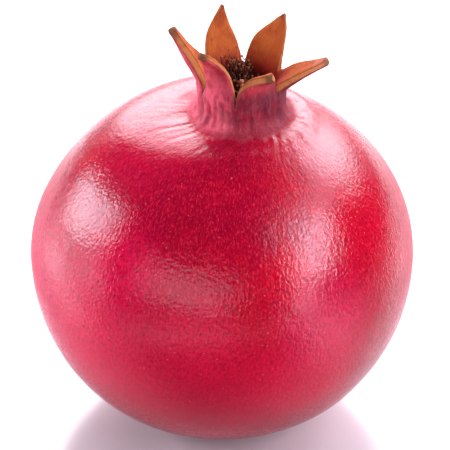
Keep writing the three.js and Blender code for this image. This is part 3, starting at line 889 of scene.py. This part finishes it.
rindMarks = {  # sizes in millimetres; a mark shows from Low and is full at High
    "patches": {"Size": 15.0, "Low": 0.36, "High": 0.68},
    "fine": {"Size": 0.9, "Low": 0.42, "High": 0.72},
    "mottle": {"Size": 2.6, "Low": 0.45, "High": 0.75},
    "cloudy": {"Size": 3.4, "Low": 0.35, "High": 0.65},
    "stains": {"Size": 4.0, "Low": 0.38, "High": 0.68},
    "nibbles": {"Size": 1.8, "Low": 0.5, "High": 0.72},
    "streaks": {"Fineness": 1.1, "Stretch": 0.22, "Low": 0.45, "High": 0.75},
    "flecks": {"Fineness": 2.3, "Stretch": 0.5},
    "ribs": {"Fineness": 0.33, "Stretch": 0.5, "Low": 0.5, "High": 0.72},
    "crackle": {"Fineness": 0.9, "Stretch": 0.45},
    "fibres": {"Fineness": 0.5, "Stretch": 0.35, "Low": 0.35, "High": 0.75},
    "wrinkles": {"Fineness": 1.5, "Stretch": 0.34},
    "dots": {"Spacing": 1.7, "Dot": 0.13},
    "freckles": {"Spacing": 2.6, "Dot": 0.16},
}
strength = {  # how strongly each layer of the rind's finish shows
    "patches": 0.6, "streaks": 0.30, "fine": 0.7, "mottle": 0.25, "dull": 0.7, "dots": 0.5, "ribs": 0.22,
    "fibres": 0.4, "nibbles": 0.7, "marginWorn": 0.5, "margin": 0.45, "tip": 0.75, "freckles": 0.7,
}
fades = {  # start, end and, where they aren't 0 and 1, the strength at each
    "upper": (22.0, 62.0, 0.3, 0.8),  # flecks and grain show most on the upper half
    "paleFlecks": (0.51, 0.66), "darkFlecks": (0.49, 0.34),
    "specksAndGlints": (0.53, 0.74, 0.0, 0.06), "dull": (0.47, 0.27), "plumFoot": (-0.8, -0.3), "lobe": (0.05, 0.8),
    "litPinkSide": (-0.05, -0.5), "pinkClear": (1.0, 0.0, 0.55, 1.0),
    "paleCrackle": (0.50, 0.64), "paleHighlightSide": (-0.6, -0.1, 0.6, 0.15),
    "darkCrackle": (0.50, 0.38), "darkSide": (-0.6, -0.1, 0.35, 0.65),
    "plumSide": (0.3, 0.9, 0.0, 0.45), "footShadeSide": (-0.75, -0.25, 0.1, 0.7),
    "shadedSide": (0.6, 0.85, 0.0, 0.5), "crimson": (0.40, 0.02), "cup": (0.15, -0.2),
    "inside": (0.45, 0.6), "dry": (0.1, 0.7), "rim": (0.35, 0.8),
    "marginOut": (0.05, 0.3), "marginIn": (0.95, 0.5), "tip": (0.90, 1.05),
    "creases": (0.035, 0.0), "dullLow": (34.0, 46.0, 0.1, 0.3), "dullHigh": (72.0, 60.0, 0.35, 1.0),
    "turnedAway": (0.45, 0.85), "pitted": (60.0, 76.0, 1.2, 0.7), "furrowed": (30.0, 12.0, 0.7, 1.5),
}
rindRough = {"tube": 0.42, "fine": 0.04, "foot": 0.15, "creases": 0.12}
rindRelief = {
    "pitScale": 1.3, "pitDetail": 1.5, "grainScale": 1.4, "grainDetail": 5.0, "dimpleScale": 0.5,
    "dimples": 0.6, "grain": 0.08, "fibres": 0.6, "crackle": 5.0,
    "furrowsAt": (38, -22, 36),  # this side is more drawn out in furrows
    "girth": 46.0, "height": 0.0001,
}


def fade(tree, value, name):
    return ramp(tree, value, *fades[name])


def readRind(tree, place):  # the marks and textures that the layers share
    marks = ("inner", "edge", "tipward", "along", "turnX", "turnY", "tube", "foot")
    read = {name: readMark(tree, name) for name in marks}
    read["place"] = place
    aroundAndUp = {0: read["turnX"], 1: read["turnY"], 2: read["along"]}
    growth = makeNode(tree, "ShaderNodeCombineXYZ", aroundAndUp).outputs[0]
    girth = rindRelief["girth"]
    read["growth"] = vectorMaths(tree, "MULTIPLY", growth, (girth, girth, 1.0))
    read["height"] = makeNode(tree, "ShaderNodeSeparateXYZ", {0: place}).outputs[2]
    read["grain"] = noiseAt(tree, place, rindRelief["grainScale"], rindRelief["grainDetail"], roughness=0.8)
    read["pits"] = noiseAt(tree, place, rindRelief["pitScale"], rindRelief["pitDetail"])
    for name in ("patches", "fine", "mottle", "cloudy", "stains", "nibbles"):
        read[name] = useGroup(tree, unevenTone, place, rindMarks[name])
    for name in ("streaks", "ribs", "fibres"):
        read[name] = useGroup(tree, growthStreaks, read["growth"], rindMarks[name])
    for name, along in (("flecks", "growth"), ("wrinkles", "growth"), ("crackle", "place")):
        read[name] = useGroup(tree, growthStreaks, read[along], rindMarks[name], "Height")
    for name in ("dots", "freckles"):
        read[name] = useGroup(tree, speckle, place, rindMarks[name])
    read["inside"] = fade(tree, read["inner"], "inside")
    return read


def rindSkin(tree, read):
    deep, light = rindLook["deep"], rindLook["light"]
    skin = mixColour(tree, times(tree, read["patches"], strength["patches"]), deep, rindLook["bright"])
    start, full = toneSpotEdge
    for at, width, tone, amount in toneSpots:
        away = vectorMaths(tree, "DISTANCE", read["place"], at, "Value")
        near = ramp(tree, away, width * start, width * full, 0.0, amount)
        skin = mixColour(tree, near, skin, rindLook[tone])
    upper = fade(tree, read["height"], "upper")
    return layered(tree, skin, (
        (times(tree, read["streaks"], strength["streaks"]), light),
        (times(tree, read["fine"], times(tree, upper, strength["fine"])), deep),
        (times(tree, read["mottle"], strength["mottle"]), light),
        (times(tree, fade(tree, read["flecks"], "paleFlecks"), upper), rindLook["fleck"]),
        (times(tree, fade(tree, read["flecks"], "darkFlecks"), upper), deep),
        # a fine pale grain: partly the rind's own pale specks, partly painted glints on its tiny bumps
        (fade(tree, read["grain"], "specksAndGlints"), rindLook["specksAndGlints"]),
        (times(tree, fade(tree, read["grain"], "dull"), times(tree, upper, strength["dull"])), deep),
        (times(tree, read["dots"], strength["dots"]), rindLook["pale"]),
    ))


def tubeSkin(tree, read):  # outside of the tube and of the lobes; the tube is pinker on its left with painted light, its crackle is paler there with painted highlights, and it grows darker and plum towards the right
    tipward, turnX, cloudy, crackle = (read[name] for name in ("tipward", "turnX", "cloudy", "crackle"))
    pale, plum = rindLook["tubePale"], rindLook["plum"]
    tube = mixColour(tree, times(tree, cloudy, fade(tree, tipward, "plumFoot")), rindLook["tube"], plum)
    return layered(tree, tube, (
        # painted light: pinker on the tube's left
        (times(tree, fade(tree, turnX, "litPinkSide"), fade(tree, cloudy, "pinkClear")), rindLook["tubeLitPink"]),
        (times(tree, read["ribs"], strength["ribs"]), pale),
        (fade(tree, tipward, "lobe"), fleshLook["outer"]),
        # painted highlights: the crackle is paler on the tube's left
        (times(tree, fade(tree, crackle, "paleCrackle"), fade(tree, turnX, "paleHighlightSide")), pale),
        (times(tree, fade(tree, crackle, "darkCrackle"), fade(tree, turnX, "darkSide")), rindLook["deep"]),
        (fade(tree, turnX, "plumSide"), plum),
    ))


def lobeFlesh(tree, read):  # dry inner faces, with painted shade on the lobes at the right
    deep = fleshLook["innerDeep"]
    flesh = mixColour(tree, read["stains"], fleshLook["inner"], deep)
    return layered(tree, flesh, (
        (times(tree, read["fibres"], strength["fibres"]), deep),
        (fade(tree, read["turnX"], "shadedSide"), deep),
        (fade(tree, read["tipward"], "crimson"), fleshLook["crimson"]),
        # painted shade: darker going down inside the tube
        (fade(tree, read["tipward"], "cup"), fleshLook["cup"]),
    ))


def fruitColour(tree, read):
    outer = mixColour(tree, read["tube"], rindSkin(tree, read), tubeSkin(tree, read))
    # painted shade in the fold at the tube's foot, weaker on the lit left side
    creaseShade = times(tree, read["foot"], fade(tree, read["turnX"], "footShadeSide"))
    outer = mixColour(tree, creaseShade, outer, rindLook["deep"])
    colour = mixColour(tree, read["inside"], outer, lobeFlesh(tree, read))
    # thick edges with a dark margin, and brown tips
    nibbled = times(tree, read["nibbles"], strength["nibbles"])
    rim = mixColour(tree, nibbled, fleshLook["rim"], fleshLook["innerDeep"])
    colour = mixColour(tree, fade(tree, read["edge"], "rim"), colour, rim)
    margin = times(tree, fade(tree, read["edge"], "marginOut"), fade(tree, read["edge"], "marginIn"))
    worn = plus(tree, times(tree, read["nibbles"], strength["marginWorn"]), strength["margin"])
    scar = fleshLook["scar"]
    return layered(tree, colour, (
        (times(tree, margin, worn), scar),
        (times(tree, fade(tree, read["tipward"], "tip"), strength["tip"]), scar),
        (times(tree, times(tree, read["freckles"], read["inside"]), strength["freckles"]), scar),
    ))


def fruitRoughness(tree, read, dry):
    creases = maths(tree, "ABSOLUTE", maths(tree, "SUBTRACT", read["pits"], 0.5))
    facing = makeNode(tree, "ShaderNodeLayerWeight", {"Blend": 0.5}).outputs["Facing"]
    duller = times(tree, fade(tree, read["height"], "dullLow"), fade(tree, read["height"], "dullHigh"))
    return plus(
        tree, ramp(tree, dry, *fades["dry"], rindLook["roughness"], fleshLook["roughness"]),
        times(tree, read["tube"], rindRough["tube"]),
        times(tree, read["fine"], rindRough["fine"]),
        times(tree, read["foot"], rindRough["foot"]),
        times(tree, fade(tree, creases, "creases"), rindRough["creases"]),
        times(tree, fade(tree, facing, "turnedAway"), duller))


def fruitRelief(tree, read, dry):  # fine wrinkles, drawn out along the growth, over soft pits
    away = vectorMaths(tree, "DISTANCE", read["place"], rindRelief["furrowsAt"], "Value")
    dimples = noiseAt(tree, read["place"], rindRelief["dimpleScale"], detail=1.0)
    return plus(
        tree, times(tree, read["pits"], fade(tree, read["height"], "pitted")),
        times(tree, read["wrinkles"], fade(tree, away, "furrowed")),
        times(tree, dimples, rindRelief["dimples"]),
        times(tree, read["grain"], rindRelief["grain"]),
        times(tree, read["fibres"], times(tree, dry, rindRelief["fibres"])),
        times(tree, read["crackle"], times(tree, read["tube"], rindRelief["crackle"])))


def addBump(tree, sockets, height, amount, distance):
    bump = makeNode(tree, "ShaderNodeBump", {"Height": height, "Strength": amount, "Distance": distance})
    feed(tree, sockets["Normal"], bump.outputs[0])


def rindMaterial():
    gloss = (rindLook[key] for key in ("roughness", "specular", "glossTint"))
    material, tree, sockets, place = newMaterial("rindFinish", *gloss)
    read = readRind(tree, place)
    dry = maths(tree, "MAXIMUM", read["inside"], read["edge"])
    feed(tree, sockets["Base Color"], fruitColour(tree, read))
    feed(tree, sockets["Roughness"], fruitRoughness(tree, read, dry))
    addBump(tree, sockets, fruitRelief(tree, read, dry), 1.0, rindRelief["height"])
    return material


dryLook = {
    "stamenFinish": {"light": (0.13, 0.026, 0.014), "dark": (0.03, 0.006, 0.005), "tip": (0.30, 0.10, 0.022)},
    "styleFinish": {"light": (0.46, 0.16, 0.075), "dark": (0.22, 0.07, 0.03), "tip": (0.55, 0.24, 0.12)},
    "stemFinish": {"light": (0.22, 0.12, 0.06), "dark": (0.08, 0.04, 0.02), "tip": (0.35, 0.25, 0.15)},
}
dryMarks = {
    "roughness": 0.65, "specular": 0.35, "shade": 0.6, "patches": 0.6, "bump": 0.5, "height": 0.0002,
    "streak": {"Fineness": 1.4, "Stretch": 0.35}, "patch": {"Size": 1.4, "Low": 0.4, "High": 0.6},
    "relief": {"Fineness": 2.5, "Stretch": 0.4},
}


def dryMaterial(name, marked=False):  # a marked mesh says which parts are anthers and how dark each is
    light, dark, tip = (dryLook[name][tone] for tone in ("light", "dark", "tip"))
    material, tree, sockets, place = newMaterial(name, dryMarks["roughness"], dryMarks["specular"])
    patches = useGroup(tree, unevenTone, place, dryMarks["patch"])
    colour = mixColour(tree, useGroup(tree, growthStreaks, place, dryMarks["streak"]), light, dark)
    if marked:
        colour = mixColour(tree, times(tree, readMark(tree, "shade"), dryMarks["shade"]), colour, dark)
        colour = mixColour(tree, readMark(tree, "anther"), colour, mixColour(tree, patches, tip, light))
    else:
        colour = mixColour(tree, times(tree, patches, dryMarks["patches"]), colour, tip)
    feed(tree, sockets["Base Color"], colour)
    relief = useGroup(tree, growthStreaks, place, dryMarks["relief"], "Height")
    addBump(tree, sockets, relief, dryMarks["bump"], dryMarks["height"])
    return material


def dress(piece, material, node):
    piece.data.materials.append(material)
    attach(piece, "root")
    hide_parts(node)


dress(makeFruit(), rindMaterial(), "fruit")
dress(makeStamens(), dryMaterial("stamenFinish", marked=True), "stamens")
dress(makeStyle(), dryMaterial("styleFinish"), "style")
dress(makeStub(), dryMaterial("stemFinish"), "stem_stub")
print("pieces dressed")


# floor and soft studio light
studio = {
    "table": 900.0, "sides": 96, "sunk": 0.02, "gloss": 0.15,  # half-width and depth in millimetres
    "floor": (0.50, 0.52, 0.55), "shade": (0.10, 0.09, 0.10), "paintedBounce": (0.62, 0.50, 0.57),
    "paintedShadowAt": (5, -130, 0), "paintedShadowSize": (95, 90, 10), "paintedShadowFade": (1.15, 0.6),  # a painted shadow in front of the fruit, seen in the gloss only
    # painted light bounced from the fruit: the floor is pinker round its foot
    "paintedBounceAt": (8, 4, 0), "paintedBounceFade": (70, 25, 0.0, 0.6),
    "dark": 0.02, "seen": 1.5, "light": (1.0, 0.95, 1.0), "aim": (0, 0, 0.05),
}
wall = {  # the lit wall behind the fruit; turns in radians, 0 straight behind and positive to the right
    "glow": 10.0, "left": (-0.68, -0.46), "right": (1.20, 0.88), "brighter": (0.55, 0.90, 1.0, 1.5),
    "foot": (0.45, 1.10, 0.02, 0.22), "footFade": (0.0, 0.30),  # it starts higher on the right
    "top": (-0.5, 0.4, -0.08, 0.0), "topFade": (0.86, 0.66),
    "held": (0.1, 0.8, 0.35, 0.85),  # the share that is seen in the gloss alone
}
fill = {"above": (0.25, 0.95, 0.0, 0.3), "front": (0.0, 1.0, 0.0, 0.5), "frontFrom": (-0.38, -0.75, -0.54)}
# as seen from the fruit, in degrees from the front and in metres; lights: it lights matt surfaces too
softboxes = (
    {"name": "leftBox", "turn": -107, "rise": 18, "lean": 30, "away": 3.0, "size": (2.25, 1.05),
     "glow": 13.5, "fade": (-0.5, 0.2), "lights": True},
    {"name": "leftFoot", "turn": -90, "rise": 1, "lean": 0, "away": 3.0, "size": (1.9, 0.9),
     "glow": 4.5, "fade": (-0.5, 0.5), "lights": False},
    {"name": "rightStrip", "turn": 67, "rise": 30, "lean": -37, "away": 3.0, "size": (0.62, 1.75),
     "glow": 27.0, "fade": (-0.2, 0.3), "lights": True},
    {"name": "rightPost", "turn": 49, "rise": 15, "lean": -12, "away": 3.0, "size": (0.68, 2.3),
     "glow": 9.5, "fade": (-0.5, 0.2), "lights": False},
    {"name": "rightArm", "turn": 82, "rise": 44, "lean": 0, "away": 3.0, "size": (3.0, 1.1),
     "glow": 5.5, "fade": (-0.5, 0.0), "lights": False},
    {"name": "frontPanel", "turn": -23, "rise": 18.5, "lean": -4, "away": 3.0, "size": (3.0, 1.2),
     "glow": 3.8, "fade": (-0.4, 0.5), "lights": True},
)


def makeFloor():
    turn = turnsRound(studio["sides"])
    rim = np.stack([np.cos(turn), np.sin(turn), 0 * turn], 1) * studio["table"] - (0, 0, studio["sunk"])
    piece = meshObject("floor", rim, [tuple(range(len(rim)))])
    material, tree, sockets, place = newMaterial("floorFinish", studio["gloss"])
    # painted shadow: the floor turns dark in front of the fruit, for every ray but the camera's
    shaded = vectorMaths(tree, "SUBTRACT", place, studio["paintedShadowAt"])
    shaded = vectorMaths(tree, "DIVIDE", shaded, studio["paintedShadowSize"])
    away = vectorMaths(tree, "LENGTH", shaded, output="Value")
    unseen = maths(tree, "SUBTRACT", 1.0, makeNode(tree, "ShaderNodeLightPath").outputs["Is Camera Ray"])
    shadow = times(tree, ramp(tree, away, *studio["paintedShadowFade"]), unseen)
    colour = mixColour(tree, shadow, studio["floor"], studio["shade"])
    # painted light bounced from the fruit: the floor turns pinker near its foot
    near = vectorMaths(tree, "DISTANCE", place, studio["paintedBounceAt"], "Value")
    colour = mixColour(tree, ramp(tree, near, *studio["paintedBounceFade"]), colour, studio["paintedBounce"])
    feed(tree, sockets["Base Color"], colour)
    piece.data.materials.append(material)


def makeWorld():
    world = bpy.data.worlds.new("studio")
    bpy.context.scene.world = world
    world.use_nodes = True
    tree = world.node_tree
    sky = makeNode(tree, "ShaderNodeTexCoord").outputs["Generated"]
    x, y, z = makeNode(tree, "ShaderNodeSeparateXYZ", {0: sky}).outputs
    turn = maths(tree, "ARCTAN2", x, y)
    path = makeNode(tree, "ShaderNodeLightPath").outputs
    lit = times(tree, ramp(tree, turn, *wall["left"]), ramp(tree, turn, *wall["right"]))
    aboveFoot = maths(tree, "SUBTRACT", z, ramp(tree, turn, *wall["foot"]))
    lit = times(tree, lit, ramp(tree, aboveFoot, *wall["footFade"]))
    lit = times(tree, lit, ramp(tree, turn, *wall["brighter"]))
    top = maths(tree, "SUBTRACT", z, ramp(tree, turn, *wall["top"]))
    lit = times(tree, lit, ramp(tree, top, *wall["topFade"], 0.0, wall["glow"]))
    held = times(tree, path["Is Diffuse Ray"], ramp(tree, turn, *wall["held"]))
    lit = times(tree, lit, maths(tree, "SUBTRACT", 1.0, held))
    towards = vectorMaths(tree, "DOT_PRODUCT", sky, fill["frontFrom"], "Value")
    soft = plus(tree, ramp(tree, z, *fill["above"]), ramp(tree, towards, *fill["front"]))
    soft = times(tree, soft, path["Is Diffuse Ray"])
    glow = plus(tree, lit, studio["dark"], soft)
    glow = maths(tree, "MAXIMUM", glow, times(tree, path["Is Camera Ray"], studio["seen"]))
    feed(tree, tree.nodes["Background"].inputs["Strength"], glow)
    tree.nodes["Background"].inputs["Color"].default_value = (*studio["light"], 1.0)


def makeSoftboxes():
    aim = Vector(studio["aim"])
    for box in softboxes:
        turn, rise = math.radians(box["turn"]), math.radians(box["rise"])
        level = math.cos(rise)
        towards = Vector((math.sin(turn) * level, -math.cos(turn) * level, math.sin(rise)))
        lamp = bpy.data.lights.new(box["name"], "AREA")
        lamp.shape = "RECTANGLE"
        lamp.size, lamp.size_y = box["size"]
        lamp.color = studio["light"]
        lamp.energy = box["glow"] * math.pi * box["size"][0] * box["size"][1]
        lamp.use_nodes = True
        tree = lamp.node_tree
        across = makeNode(tree, "ShaderNodeNewGeometry").outputs["Parametric"]
        u = makeNode(tree, "ShaderNodeSeparateXYZ", {0: across}).outputs[0]
        feed(tree, tree.nodes["Emission"].inputs["Strength"], ramp(tree, u, *box["fade"]))
        holder = bpy.data.objects.new(box["name"], lamp)
        bpy.context.collection.objects.link(holder)
        holder.location = aim + towards * box["away"]
        holder.visible_diffuse = box["lights"]
        lean = Quaternion((0, 0, 1), math.radians(box["lean"]))
        holder.rotation_euler = ((-towards).to_track_quat("-Z", "Y") @ lean).to_euler()


makeFloor()
makeWorld()
makeSoftboxes()
bpy.context.scene.view_settings.view_transform = "Standard"
print("studio lit")
